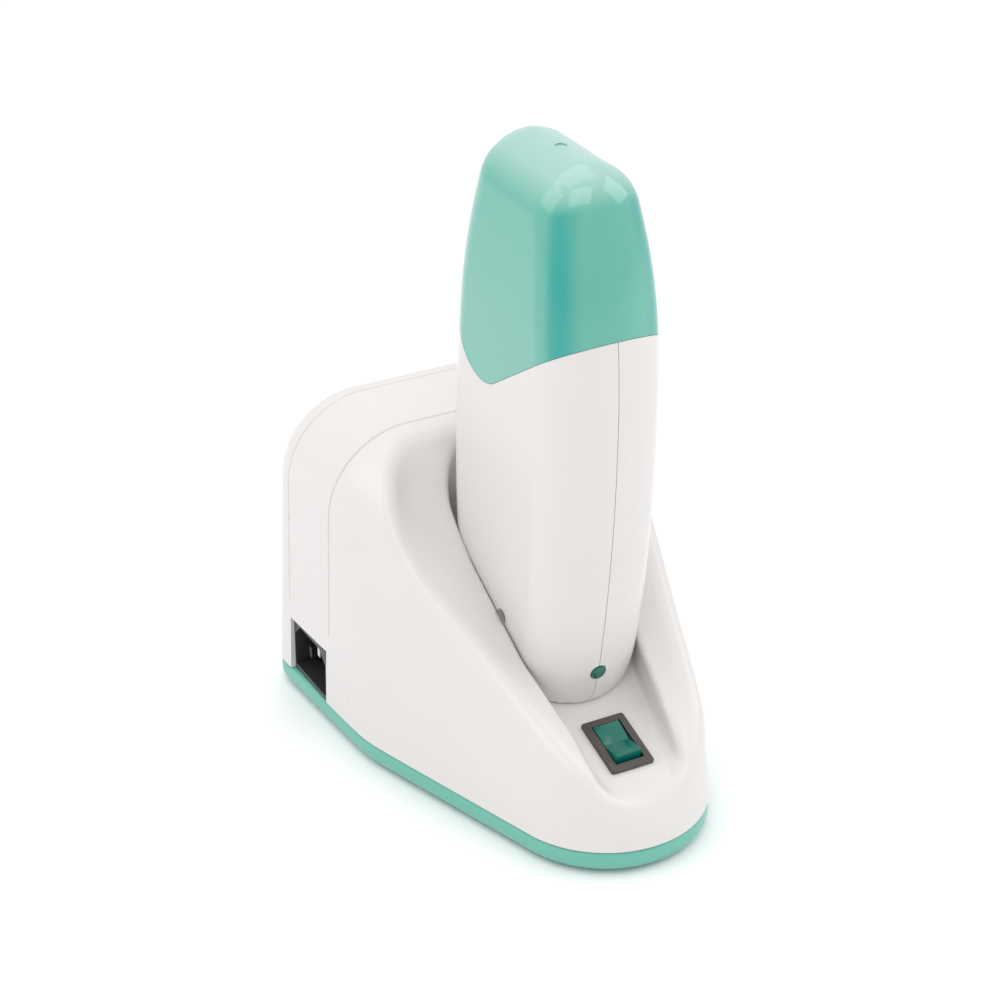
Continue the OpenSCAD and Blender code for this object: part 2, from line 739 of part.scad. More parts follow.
module contact_socket() color([0.35, 0.33, 0.3]) home() difference() {
    translate([-10, post_y - 4.2, socket_z]) cube([20, 8.4, 3.6]);
    for (s = [-1, 1]) translate([s * post_x, post_y, socket_z - 1])
        cylinder(h = 6, r = post_r + post_gap);
}

module handset_leads() color([0.45, 0.2, 0.15]) home() {
    for (s = [-1, 1]) lead([[s * 9.2, post_y - 3, socket_z + 3.6 + 0.7],
        [s * 9.2, 24, 66], [s * 9, 24, chamber_bottom - 2.2]], 0.7);
    for (s = [-1, 1]) lead([[s * 5.6, 40, chamber_bottom - 8],
        [s * 7, 60.8, chamber_bottom - 4], [s * 4, 61, 90], [s * 4, 60.4, 95.3]], 0.7);
    for (s = [-1, 1]) lead([[s * 1.2, led_y + 12.2, led_z + 3.4], [s * 2.4, 17.4, 59],
        [s * 6, 4.6, 78], [s * 3, 5.4, 95.3]], 0.6);
}

module lid() color([0.5, 0.78, 0.7, 0.9]) home() difference() {
    difference() { hand_form(0); below_edge(0); }
    hand_form(lid_wall);
    translate([0, crown_y, lid_top - 0.35]) cylinder(h = 4, r = 1.8);
}

// ---------- cartridge ----------

module cartridge_body() color([0.9, 0.8, 0.55]) home() translate([0, axis_y, 0]) {
    translate([0, 0, chamber_bottom + chamber_wall + 0.3])
        linear_extrude(height = 78) round_rect(chamber_x - chamber_wall - pack_gap,
            chamber_y - chamber_wall - pack_gap, chamber_r - chamber_wall - pack_gap);
    translate([0, 0, chamber_bottom + 79]) linear_extrude(height = 5)
        round_rect(11, 21, 6);
}

module roller_yoke() color([0.95, 0.94, 0.92]) home() translate([0, axis_y, 0]) difference() {
    union() {
        translate([0, 0, chamber_bottom + 84]) linear_extrude(height = 6) round_rect(12, 24.4, 7);
        for (s = [-1, 1]) translate([0, s * 22.4, chamber_bottom + 90])
            translate([-7, -1.6, 0]) cube([14, 3.2, roller_z - chamber_bottom - 84]);
    }
    translate([0, 0, roller_z]) rotate([90, 0, 0])
        cylinder(h = roller_l + 3, r = roller_r + 0.6, center = true);
    translate([0, 0, roller_z]) rotate([90, 0, 0]) cylinder(h = 60, r = 1.55, center = true);
}

module roller() color([0.96, 0.95, 0.93]) home() translate([0, axis_y, roller_z])
    rotate([90, 0, 0]) {
        cylinder(h = roller_l, r = roller_r, center = true);
        cylinder(h = roller_l + 9, r = 1.5, center = true);
    }

dock_shell();
base_plate();
rubber_feet();
base_screws();
inlet_body();
inlet_pins();
switch_body();
switch_terminals();
rocker();
contact_block();
contact_posts();
dock_leads();
left_shell();
right_shell();
shell_screws();
indicator_lens();
indicator_lamp();
heating_chamber();
heater_plates();
thermostat();
thermal_fuse();
contact_socket();
handset_leads();
lid();
cartridge_body();
roller_yoke();
roller();
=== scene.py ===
"""The looks of the roll-on wax heater: a white dock on a mint base, a white handset
in its cradle and a glossy mint cap. Lengths in the forms below are millimetres,
measured from the centre of the nose arc, and turn into metres in the row frame."""
import math

import bmesh
import bpy
import numpy as np
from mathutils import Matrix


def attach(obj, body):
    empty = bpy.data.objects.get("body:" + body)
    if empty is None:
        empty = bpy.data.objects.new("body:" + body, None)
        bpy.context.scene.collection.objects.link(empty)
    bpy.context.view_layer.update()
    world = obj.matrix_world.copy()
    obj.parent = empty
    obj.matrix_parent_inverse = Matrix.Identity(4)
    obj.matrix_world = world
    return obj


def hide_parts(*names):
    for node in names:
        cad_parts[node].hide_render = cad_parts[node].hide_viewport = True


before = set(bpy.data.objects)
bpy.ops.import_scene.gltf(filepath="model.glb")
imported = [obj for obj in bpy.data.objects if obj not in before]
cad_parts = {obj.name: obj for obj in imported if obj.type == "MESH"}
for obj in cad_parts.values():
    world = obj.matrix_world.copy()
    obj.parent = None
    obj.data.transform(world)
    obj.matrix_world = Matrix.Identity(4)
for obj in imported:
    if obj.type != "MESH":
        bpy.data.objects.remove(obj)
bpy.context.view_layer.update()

import openvdb
from mathutils import Matrix, Vector

# ---------- driving sizes ----------
# Those that the part's source names too have its values, but for five: there GROOVE_W
# is 0.8, EDGE_R 8, FLARE_R 800, KEEL_HALF 18.9 and KEEL_R 12. The base is also drawn
# 0.4 below the seam here.
MM = 0.001
MID_Y = 46.8                     # nose-arc centre to the middle of the footprint
NOSE_R, FLANK, CORNER_Y, SIDE_TAPER = 33.4, math.radians(17.8), 60.2, math.radians(2.9)
REAR_Y, CORNER_R = 127.0, 10.0
SEAM_Z, BLOCK_H, TOP_ROUND = 9.0, 106.8, 27.0
WALL_DRAFT, FLANK_DRAFT = math.radians(1.7), math.radians(4.9)
ROOF_Y, ROOF_Z, ROOF_R = 86.5, -68.2, 150.0
BROW_Y, BROW_Z, BROW_TILT = 50.0, 78.0, math.radians(57.0)
SCOOP_Y, SCOOP_Z = -41.6, 16.9
SCOOP_HALF, SCOOP_SLOPE = math.radians(42.0), math.radians(30.0)
COLLAR_Y, SHAFT_HALF, SHAFT_R = 79.0, 47.0, 22.0
SWITCH_Y, SWITCH_Z, PANEL_SLOPE = -8.0, 30.9, math.radians(16.6)
KNEE_Y, FLOOR_SLOPE, FLOOR_END_Y = 7.0, math.radians(30.0), 71.0
TROUGH_FRONT, TROUGH_REAR, TROUGH_R = -29.0, 76.0, 13.0
CRADLE_HALF, FRONT_HALF, FRONT_R = 19.8, 14.4, 10.0
GROOVE_Y, GROOVE_W, GROOVE_D, GROOVE_Z = (84.9, 112.7), 0.9, 0.5, 35.0
INLET_Y, INLET_W, INLET_TOP = 99.5, 25.2, 28.8
HAND_HALF, HAND_FRONT, HAND_REAR, LID_TOP = 20.0, -4.3, 71.6, 214.4
CROWN_R, SWEEP_Z, LOW_R, UP_R, REAR_R, REAR_Z = 14.5, 143.0, 510.0, 215.0, 515.0, 98.0
NOSE_ARC, EDGE_R, TOE_R, TOE_TOP = 28.0, 12.0, 56.0, 53.0
FLARE_Z, FLARE_R, TAPER_Z, TAPER_R = 95.0, 1300.0, 160.0, 250.0
LOBE_Z, LID_FRONT_Z, LID_WALL, NECK_IN, NECK_WALL, NECK_TOP = 139.0, 167.0, 1.8, 2.4, 1.5, 172.0
LED_Y, LED_Z, LED_LEAN, LED_R = 4.3, 50.5, math.radians(13.0), 2.6
HULL_Y, SEAT_GAP, CROWN_Y = 8.5, 1.2, 31.5
KEEL_HALF, KEEL_R = HAND_HALF - 0.6, 8.0
SCREW_Y, SCREW_Z, SCREW_HEAD_R, SCREW_HEAD_X = 31.0, 62.0, 2.6, -11.0
BEZEL_W, BEZEL_L, BEZEL_T, SOFT_EDGE = 15.0, 21.0, 1.4, 0.45
STEM_W, STEM_L, STEM_DEEP, STEM_ROOM = 12.8, 18.8, 12.0, 0.2
ROCKER_W, ROCKER_L, ROCKER_TILT, ROCKER_LOW = 9.2, 14.6, math.radians(8.0), -4.4
POCKET_SIDE, POCKET_END, POCKET_DEEP = 0.45, 0.75, 9.5
PIVOT_DROP, PIVOT_R, PIVOT_OUT = 2.5, 1.0, 0.75
LOBE_Y, LOBE_R, HOLLOW_Z, DIMPLE_R, DIMPLE_D = 43.0, 15.0, 120.0, 1.8, 0.35
HULL_Z = SWITCH_Z + (HULL_Y - SWITCH_Y) * math.tan(PANEL_SLOPE) + SEAT_GAP
KNEE_Z = SWITCH_Z + (KNEE_Y - SWITCH_Y) * math.tan(PANEL_SLOPE)
FLOOR_END_Z = KNEE_Z + (FLOOR_END_Y - KNEE_Y) * math.tan(FLOOR_SLOPE)
HW_CORNER = NOSE_R * math.cos(FLANK) + (CORNER_Y + NOSE_R * math.sin(FLANK)) * math.tan(FLANK)


# ---------- camera, floor and light ----------
def studio():
    """Camera at the photograph's angle, a pale floor and soft lights."""
    camera = bpy.data.objects.new("camera", bpy.data.cameras.new("camera"))
    bpy.context.collection.objects.link(camera)
    target = Vector((0.0, 0.0218, 0.0801))
    camera.location = Vector((-0.3540, -0.6384, 0.4919))
    camera.rotation_euler = (target - camera.location).to_track_quat("-Z", "Y").to_euler()
    camera.data.sensor_width = 36.0
    camera.data.lens = 95.4
    camera.data.clip_start = 0.01
    bpy.context.scene.camera = camera

    bm = bmesh.new()
    bmesh.ops.create_grid(bm, x_segments=1, y_segments=1, size=6.0)
    floor = piece_from("floor", bm)
    floor.data.materials.append(floor_paint())

    world = bpy.data.worlds.new("soft_white_room")
    bpy.context.scene.world = world
    world.use_nodes = True
    world.node_tree.nodes["Background"].inputs["Color"].default_value = (0.95, 0.975, 1.0, 1.0)
    world.node_tree.nodes["Background"].inputs["Strength"].default_value = 0.93
    softbox("key_softbox", (-0.35, -0.75, 1.25), 0.9, 3.7)
    softbox("side_softbox", (0.95, -0.35, 0.75), 0.8, 2.8)
    softbox("rear_softbox", (-0.95, 0.35, 0.95), 1.0, 3.2)
    softbox("top_softbox", (0.0, 0.45, 1.5), 1.2, 4.0)


def softbox(name, place, size, power):
    """A square soft light that points at the handset."""
    lamp = bpy.data.objects.new(name, bpy.data.lights.new(name, "AREA"))
    lamp.data.shape = "SQUARE"
    lamp.data.size = size
    lamp.data.energy = power
    lamp.data.color = (1.0, 0.965, 0.93)
    lamp.location = place
    lamp.rotation_euler = (Vector((0, 0, 0.1)) - lamp.location).to_track_quat("-Z", "Y").to_euler()
    bpy.context.collection.objects.link(lamp)


# ---------- mesh helpers ----------
def piece_from(name, bm):
    """A linked object at the origin that takes over the bmesh."""
    mesh = bpy.data.meshes.new(name)
    bm.to_mesh(mesh)
    bm.free()
    made = bpy.data.objects.new(name, mesh)
    bpy.context.collection.objects.link(made)
    return made


def to_row(bm):
    """From millimetres about the nose arc to metres in the row frame."""
    bmesh.ops.translate(bm, vec=(0.0, -MID_Y, 0.0), verts=bm.verts)
    bmesh.ops.scale(bm, vec=(MM, MM, MM), verts=bm.verts)


def smooth(obj, angle=40.0):
    """Smooth shading with edges sharper than the angle kept crisp."""
    for face in obj.data.polygons:
        face.use_smooth = True
    obj.data.set_sharp_from_angle(angle=math.radians(angle))


def apply_all(obj):
    """Puts the modifiers' result into the mesh."""
    graph = bpy.context.evaluated_depsgraph_get()
    done = bpy.data.meshes.new_from_object(obj.evaluated_get(graph))
    obj.modifiers.clear()
    obj.data = done


def cut(obj, tool, operation="DIFFERENCE"):
    """Boolean of obj with tool; the tool is thrown away."""
    step = obj.modifiers.new("cut", "BOOLEAN")
    step.object = tool
    step.operation = operation
    step.solver = "MANIFOLD"
    apply_all(obj)
    bpy.data.objects.remove(tool)


def join_both(a, b, r):
    """Distance of what lies in both forms, the edge between them rounded by r."""
    return np.minimum(-r, np.maximum(a, b)) + np.hypot(np.maximum(a + r, 0), np.maximum(b + r, 0))


def join_any(a, b, r):
    """Distance of what lies in either form, the corner between them filled by r."""
    return -join_both(-a, -b, r)


def soft_max(a, b, k):
    """The larger of two distances, blended over about k where they are alike."""
    return 0.5 * (a + b + np.sqrt((a - b) ** 2 + k * k))


def skin(name, form, low, high, step):
    """The closed surface where form(x, y, z) is zero, in millimetres, as a bmesh."""
    axes = [np.arange(a, b + step, step, dtype=np.float32) for a, b in zip(low, high)]
    values = form(*np.meshgrid(*axes, indexing="ij", sparse=True)).astype(np.float32)
    grid = openvdb.FloatGrid(4 * step)
    grid.copyFromArray(np.ascontiguousarray(values))
    points, quads = grid.convertToQuads(isovalue=0.0)
    points = points.astype(np.float64) * step + np.array([a[0] for a in axes])
    for _ in range(3):
        points = onto(form, points)
    mesh = bpy.data.meshes.new(name)
    mesh.from_pydata(points.tolist(), [], quads.tolist())
    bm = bmesh.new()
    bm.from_mesh(mesh)
    bpy.data.meshes.remove(mesh)
    bmesh.ops.recalc_face_normals(bm, faces=bm.faces)
    return bm


def onto(form, p, h=0.05):
    """Moves points along the form's slope to where it is zero."""
    here = form(p[:, 0], p[:, 1], p[:, 2])
    slope = np.stack([
        form(p[:, 0] + h, p[:, 1], p[:, 2]) - form(p[:, 0] - h, p[:, 1], p[:, 2]),
        form(p[:, 0], p[:, 1] + h, p[:, 2]) - form(p[:, 0], p[:, 1] - h, p[:, 2]),
        form(p[:, 0], p[:, 1], p[:, 2] + h) - form(p[:, 0], p[:, 1], p[:, 2] - h)], 1) / (2 * h)
    length = np.maximum((slope ** 2).sum(1), 0.25)
    move = -(here / length)[:, None] * slope
    return p + np.clip(move, -0.5, 0.5)


def block(low, high):
    """A box between two corners, in millimetres."""
    bm = bmesh.new()
    bmesh.ops.create_cube(bm, size=1.0)
    bmesh.ops.translate(bm, vec=(0.5, 0.5, 0.5), verts=bm.verts)
    bmesh.ops.scale(bm, vec=[b - a for a, b in zip(low, high)], verts=bm.verts)
    bmesh.ops.translate(bm, vec=low, verts=bm.verts)
    return bm


def soften(bm, edges, offset, segments=3):
    """Rounds the given edges."""
    bmesh.ops.bevel(bm, geom=edges, offset=offset, affect="EDGES", segments=segments,
                    profile=0.5, material=-1)


def across(bm):
    """Turns a form drawn along +Z to lie along +X."""
    bmesh.ops.rotate(bm, cent=(0, 0, 0), matrix=Matrix.Rotation(math.pi / 2, 3, "Y"),
                     verts=bm.verts)
    return bm


def prism(points, half):
    """A side-view outline in (y, z) carried across X from -half to half."""
    bm = bmesh.new()
    face = bm.faces.new([bm.verts.new((-half, y, z)) for y, z in points])
    out = bmesh.ops.extrude_face_region(bm, geom=[face])
    moved = [v for v in out["geom"] if isinstance(v, bmesh.types.BMVert)]
    bmesh.ops.translate(bm, vec=(2 * half, 0, 0), verts=moved)
    bmesh.ops.recalc_face_normals(bm, faces=bm.faces)
    return bm


# ---------- the forms ----------
def outer_walls(x, y, z, draft=1.0):
    """The nose, flanks and sides, drafted, in one form that runs on past the rear."""
    x = np.abs(x)
    rise = (z - SEAM_Z) * draft
    lean_f, lean_s = math.tan(FLANK_DRAFT), math.tan(WALL_DRAFT)
    nose = np.hypot(x, y) - NOSE_R + lean_f * rise
    flank = x * math.cos(FLANK) - y * math.sin(FLANK) - NOSE_R + lean_f * rise
    front = np.where(y * math.cos(FLANK) + x * math.sin(FLANK) < 0, nose, flank)
    side = (x - HW_CORNER) * math.cos(SIDE_TAPER) - (y - CORNER_Y) * math.sin(SIDE_TAPER)
    return soft_max(front, side + lean_s * rise, 1.4)


def rear_wall(y, z, draft=1.0):
    """The rear face, drafted like the sides."""
    return y - REAR_Y + math.tan(WALL_DRAFT) * (z - SEAM_Z) * draft


def funnel(x, y, z):
    """The conical scoop around the cradle and the shaft it runs up into."""
    tip = SCOOP_SLOPE + SCOOP_HALF - math.pi / 2
    dy, dz = y - SCOOP_Y, z - SCOOP_Z
    along = -dy * math.sin(tip) + dz * math.cos(tip)
    off = np.hypot(x, dy * math.cos(tip) + dz * math.sin(tip))
    cone = off * math.cos(SCOOP_HALF) - along * math.sin(SCOOP_HALF)
    lean = BROW_TILT - math.pi / 2
    v = (y - COLLAR_Y) * math.cos(lean) + (z - BLOCK_H) * math.sin(lean)
    qx, qy = np.abs(x) - SHAFT_HALF + SHAFT_R, v + SHAFT_R
    shaft = np.hypot(np.maximum(qx, 0), np.maximum(qy, 0)) - SHAFT_R
    shaft = shaft + np.minimum(np.maximum(qx, qy), 0)
    return join_both(cone, shaft, 7.0)


def cradle(x, y, z):
    """The trough that takes the handset: its outline in plan, and its floor."""
    x = np.abs(x)
    slope = (CRADLE_HALF - FRONT_HALF) / (16.0 - TROUGH_FRONT - FRONT_R)
    half = np.clip(FRONT_HALF + slope * (y - TROUGH_FRONT - FRONT_R), FRONT_HALF, CRADLE_HALF)
    near_front = y < 20
    r = np.where(near_front, FRONT_R, TROUGH_R)
    end = np.where(near_front, TROUGH_FRONT - y, y - TROUGH_REAR)
    qx, qy = x - half + r, end + r
    plan = np.hypot(np.maximum(qx, 0), np.maximum(qy, 0)) - r + np.minimum(np.maximum(qx, qy), 0)
    panel = (SWITCH_Z + (y - SWITCH_Y) * math.tan(PANEL_SLOPE) - z) * math.cos(PANEL_SLOPE)
    floor = (KNEE_Z + (y - KNEE_Y) * math.tan(FLOOR_SLOPE) - z) * math.cos(FLOOR_SLOPE)
    steep = 26.0 / (TROUGH_REAR - FLOOR_END_Y)
    wall = (FLOOR_END_Z + (y - FLOOR_END_Y) * steep - z) / math.hypot(1, steep)
    bottom = soft_max(soft_max(panel, floor, 0.6), wall, 2.0)
    return join_both(plan, bottom, 1.6 + 2.4 * np.clip((2.0 - y) / 14.0, 0, 1))


def dock_form(x, y, z):
    """The whole dock: block and brow, less the funnel and the cradle, edges rounded."""
    side_top = join_both(outer_walls(x, y, z), z - BLOCK_H, TOP_ROUND)
    side_top = join_both(side_top, rear_wall(y, z), CORNER_R)
    ridge = 6.5 - 2.0 * np.clip((y - 20.0) / 50.0, 0, 1)
    roof = np.hypot(y - ROOF_Y, z - ROOF_Z) - ROOF_R
    lean = BROW_TILT - math.pi / 2
    brow = -((y - BROW_Y) * math.cos(lean) + (z - BROW_Z) * math.sin(lean))
    above = join_any(roof, brow, 6.0)
    mass = join_both(side_top, above, ridge)
    mass = join_both(mass, -funnel(x, y, z), ridge)
    edge = 1.2 + 3.2 * np.clip((-9.0 - y) / 14.0, 0, 1)
    return join_both(mass, -cradle(x, y, z), edge)


def belt_depth(y, z):
    """Depth under the handset's front, crown and rear, measured across its belt."""
    crown_z = LID_TOP - CROWN_R
    lean_up = math.asin((crown_z - SWEEP_Z) / (UP_R - CROWN_R))
    lean_toe = math.asin((SWEEP_Z - TOE_TOP) / LOW_R)
    lean_rear = math.asin((crown_z - REAR_Z) / (REAR_R - CROWN_R))
    crown_f = HAND_FRONT + UP_R - (UP_R - CROWN_R) * math.cos(lean_up)
    crown_b = HAND_REAR - REAR_R + (REAR_R - CROWN_R) * math.cos(lean_rear)
    toe_y = HAND_FRONT + LOW_R - (LOW_R - TOE_R) * math.cos(lean_toe)
    toe_z = SWEEP_Z - (LOW_R - TOE_R) * math.sin(lean_toe)

    def arc(cy, cz, r):
        return r - np.hypot(y - cy, z - cz)

    front = np.where(z < SWEEP_Z, arc(HAND_FRONT + LOW_R, SWEEP_Z, LOW_R),
                     arc(HAND_FRONT + UP_R, SWEEP_Z, UP_R))
    front = np.where(z < toe_z + (y - toe_y) * math.tan(lean_toe), arc(toe_y, toe_z, TOE_R), front)
    front = np.where((z > crown_z + (crown_f - y) * math.tan(lean_up)) & (y < crown_f),
                     arc(crown_f, crown_z, CROWN_R), front)
    rear = arc(HAND_REAR - REAR_R, REAR_Z, REAR_R)
    rear = np.where((z > crown_z + (y - crown_b) * math.tan(lean_rear)) & (y > crown_b),
                    arc(crown_b, crown_z, CROWN_R), rear)
    top = np.where((y >= crown_f) & (y <= crown_b) & (z > crown_z), LID_TOP - z, 1e3)
    return np.minimum(np.where(y < 0.5 * (crown_f + crown_b), front, rear), top)


def hand_form(x, y, z, inset=0.0):
    """The handset and its cap as one form, drawn in by inset."""
    flare = FLARE_R - np.sqrt(np.maximum(FLARE_R ** 2 - np.minimum(z - FLARE_Z, 0) ** 2, 1))
    taper = TAPER_R - np.sqrt(np.maximum(TAPER_R ** 2 - np.maximum(z - TAPER_Z, 0) ** 2, 1))
    x = np.abs(x) * HAND_HALF / (HAND_HALF - flare - taper)
    u = belt_depth(y, z)
    fx = HAND_HALF - EDGE_R
    fy = NOSE_ARC - math.sqrt((NOSE_ARC - EDGE_R) ** 2 - fx ** 2)
    side = np.where(u < fy, np.hypot(np.maximum(x - fx, 0), fy - u) - EDGE_R, x - HAND_HALF)
    face = np.hypot(x, NOSE_ARC - u) - NOSE_ARC
    section = np.where((u < NOSE_ARC) & (x * (NOSE_ARC - fy) < fx * (NOSE_ARC - u)), face, side)
    v = (z - HULL_Z) * math.cos(FLOOR_SLOPE) - (y - HULL_Y) * math.sin(FLOOR_SLOPE)
    qx, qy = x - KEEL_HALF + KEEL_R, KEEL_R - v
    keel = np.where((qx > 0) & (qy > 0), np.hypot(qx, qy) - KEEL_R, -v)
    return join_both(np.maximum(section, keel), HULL_Z - z, 1.0) + inset


# ---------- making and placing pieces ----------
def on_panel(bm, drop=0.0):
    """Lays a form drawn about the switch's middle on the sloping panel."""
    bmesh.ops.translate(bm, vec=(0, 0, drop), verts=bm.verts)
    bmesh.ops.rotate(bm, cent=(0, 0, 0), matrix=Matrix.Rotation(PANEL_SLOPE, 3, "X"),
                     verts=bm.verts)
    bmesh.ops.translate(bm, vec=(0, SWITCH_Y, SWITCH_Z), verts=bm.verts)
    return bm


def at_led(bm):
    """Turns a form drawn along +Z to face out of the handset's front at the lamp."""
    bmesh.ops.rotate(bm, cent=(0, 0, 0), verts=bm.verts,
                     matrix=Matrix.Rotation(math.pi / 2 + LED_LEAN, 3, "X"))
    bmesh.ops.translate(bm, vec=(0, LED_Y, LED_Z), verts=bm.verts)
    return bm


def rod(radius, low, high, sides=32):
    """A round bar along Z between two heights."""
    bm = bmesh.new()
    bmesh.ops.create_cone(bm, cap_ends=True, segments=sides, radius1=radius, radius2=radius,
                          depth=high - low)
    bmesh.ops.translate(bm, vec=(0, 0, (low + high) / 2), verts=bm.verts)
    return bm


def half_space(bm, place, normal):
    """Cuts away what lies beyond a plane and closes the cut."""
    done = bmesh.ops.bisect_plane(bm, geom=bm.verts[:] + bm.edges[:] + bm.faces[:],
                                  plane_co=place, plane_no=normal, clear_outer=True)
    rim = [e for e in done["geom_cut"] if isinstance(e, bmesh.types.BMEdge)]
    bmesh.ops.triangle_fill(bm, use_beauty=True, use_dissolve=False, edges=rim,
                            normal=Vector(normal))


def hand_over(obj, body, slot, finish, *nodes, crisp=40.0):
    """Scales a finished piece into the row frame, gives it its body and finish."""
    bm = bmesh.new()
    bm.from_mesh(obj.data)
    to_row(bm)
    bm.to_mesh(obj.data)
    bm.free()
    obj.data.materials.clear()
    obj.data.materials.append(finish)
    smooth(obj, crisp)
    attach(obj, body)
    if nodes:
        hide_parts(*nodes)
    return obj


def press_line(bm, y):
    """Presses a bright line into the block's skin, from wall to wall over the top."""
    for at in (y - GROOVE_W / 2, y, y + GROOVE_W / 2):
        bmesh.ops.bisect_plane(bm, geom=bm.verts[:] + bm.edges[:] + bm.faces[:],
                               plane_co=(0, at, 0), plane_no=(0, 1, 0))
    bm.normal_update()
    for v in bm.verts:
        if abs(v.co.y - y) < GROOVE_W / 2 - 0.02 and v.co.z > GROOVE_Z:
            v.co -= v.normal * GROOVE_D


# ---------- the pieces ----------
def dock_piece():
    """The white dock as a closed mass with the scoop, the cradle and its openings."""
    bm = skin("dock_skin", dock_form, (-62, -38, 4), (62, 131, 110), 0.95)
    half_space(bm, (0, 0, SEAM_Z), (0, 0, -1))
    for y in GROOVE_Y:
        press_line(bm, y)
    dock = piece_from("dock_skin", bm)
    cut(dock, piece_from("switch_hole", on_panel(block(
        (-STEM_W / 2 - STEM_ROOM, -STEM_L / 2 - STEM_ROOM, -14),
        (STEM_W / 2 + STEM_ROOM, STEM_L / 2 + STEM_ROOM, 20)))))
    cut(dock, piece_from("inlet_hole", block((-80, INLET_Y - INLET_W / 2, SEAM_Z - 1),
                                             (-28, INLET_Y + INLET_W / 2, INLET_TOP))))
    return hand_over(dock, "dock", "white_plastic", white_paint("dock_white"), "dock_shell")


def base_piece():
    """The mint base under the seam as a closed mass, its lower edge drawn in all round."""
    def form(x, y, z):
        walls = join_both(outer_walls(x, y, z, 0.0), rear_wall(y, z, 0.0), CORNER_R) + 0.15
        return join_both(join_both(walls, 1.2 - z, 3.4), z - SEAM_Z + 0.4, 1.0)
    bm = skin("base_skin", form, (-62, -38, -1), (62, 131, 12), 0.7)
    return hand_over(piece_from("base_skin", bm), "dock", "mint_plastic",
                     mint_paint("base_mint"), "base_plate")


def cap_region(drop=0.0, steps=16):
    """Side-view outline of what belongs to the cap: above its swept lower edge."""
    cy, cz, r = LOBE_Y, LOBE_Z + LOBE_R, LOBE_R
    first, last = math.radians(-126.87), math.radians(-17.3)
    lobe = [(cy + r * math.cos(first + (last - first) * i / steps),
             cz + r * math.sin(first + (last - first) * i / steps)) for i in range(steps + 1)]
    line = [(-40.0, LID_FRONT_Z + 24.0), (-4.0, LID_FRONT_Z)] + lobe
    line += [(62.0, LOBE_Z + 17.0), (72.0, LID_FRONT_Z - 4.0), (110.0, LID_FRONT_Z - 2.0),
             (110.0, 260.0), (-40.0, 260.0)]
    return [(y, z - drop) for y, z in line]


def hand_skin(name, inset, top=220.0):
    """The handset's outline drawn in by inset, closed at a height if asked."""
    bm = skin(name, lambda x, y, z: hand_form(x, y, z, inset), (-24, -9, 34), (24, 76, 219), 0.8)
    if top < 220.0:
        half_space(bm, (0, 0, top), (0, 0, 1))
    return bm


def handset_pieces():
    """The two white shells, parted down the middle, with the collar the cap sits on.
    They are hollow above HOLLOW_Z and solid below it."""
    body = piece_from("handset_skin", hand_skin("handset_skin", 0.0))
    cut(body, piece_from("cap_space", prism(cap_region(0.15), 45)))
    cut(body, piece_from("collar", hand_skin("collar", NECK_IN, NECK_TOP)), "UNION")
    pocket = hand_skin("pocket", NECK_IN + NECK_WALL)
    half_space(pocket, (0, 0, HOLLOW_Z), (0, 0, -1))
    cut(body, piece_from("pocket", pocket))
    cut(body, piece_from("lamp_hole", at_led(rod(LED_R + 0.15, -3.0, 8.0))))
    screw = across(rod(SCREW_HEAD_R, -2 * HAND_HALF, SCREW_HEAD_X))
    bmesh.ops.translate(screw, vec=(0, SCREW_Y, SCREW_Z), verts=screw.verts)
    cut(body, piece_from("screw_recess", screw))
    for side, name in ((-1, "left"), (1, "right")):
        bm = bmesh.new()
        bm.from_mesh(body.data)
        half_space(bm, (side * 0.1, 0, 0), (-side, 0, 0))
        shell = piece_from(name + "_skin", bm)
        hand_over(shell, "handset", "white_plastic", white_paint(name + "_white"),
                  name + "_shell")
    bpy.data.objects.remove(body)


def cap_piece():
    """The glossy cap: a thin tinted wall over the roller."""
    cap = piece_from("cap_skin", hand_skin("cap_skin", 0.0))
    cut(cap, piece_from("cap_space", prism(cap_region(), 45)), "INTERSECT")
    cut(cap, piece_from("cap_inside", hand_skin("cap_inside", LID_WALL)))
    dimple = rod(DIMPLE_R, LID_TOP - DIMPLE_D, LID_TOP + 4.0)
    bmesh.ops.translate(dimple, vec=(0, CROWN_Y, 0), verts=dimple.verts)
    cut(cap, piece_from("dimple", dimple))
    return hand_over(cap, "lid", "lid_plastic", cap_paint("cap_mint"), "lid")


def rocker_piece():
    """The tinted rocker: two faces that meet at a crease, its corners softened."""
    end = ROCKER_L / 2
    bm = prism([(-end, 5.2), (0.0, 3.3), (end, 5.2), (end, 1.0), (5.0, ROCKER_LOW),
                (-5.0, ROCKER_LOW), (-end, 1.0)], ROCKER_W / 2)
    edges = [e for e in bm.edges if max(v.co.z for v in e.verts) > 0.9
             and not all(abs(v.co.y) < 0.1 for v in e.verts)]
    soften(bm, edges, SOFT_EDGE)
    reach = ROCKER_W / 2 + PIVOT_OUT
    pivot = across(rod(PIVOT_R, -reach, reach, 24))
    for form in (bm, pivot):
        bmesh.ops.rotate(form, cent=(0, 0, 0), matrix=Matrix.Rotation(-ROCKER_TILT, 3, "X"),
                         verts=form.verts)
        on_panel(form, -PIVOT_DROP)
    rocker = piece_from("rocker_skin", bm)
    cut(rocker, piece_from("pivot", pivot), "UNION")
    return hand_over(rocker, "rocker", "rocker_plastic", rocker_paint("rocker_teal"), "rocker",
                     crisp=25.0)


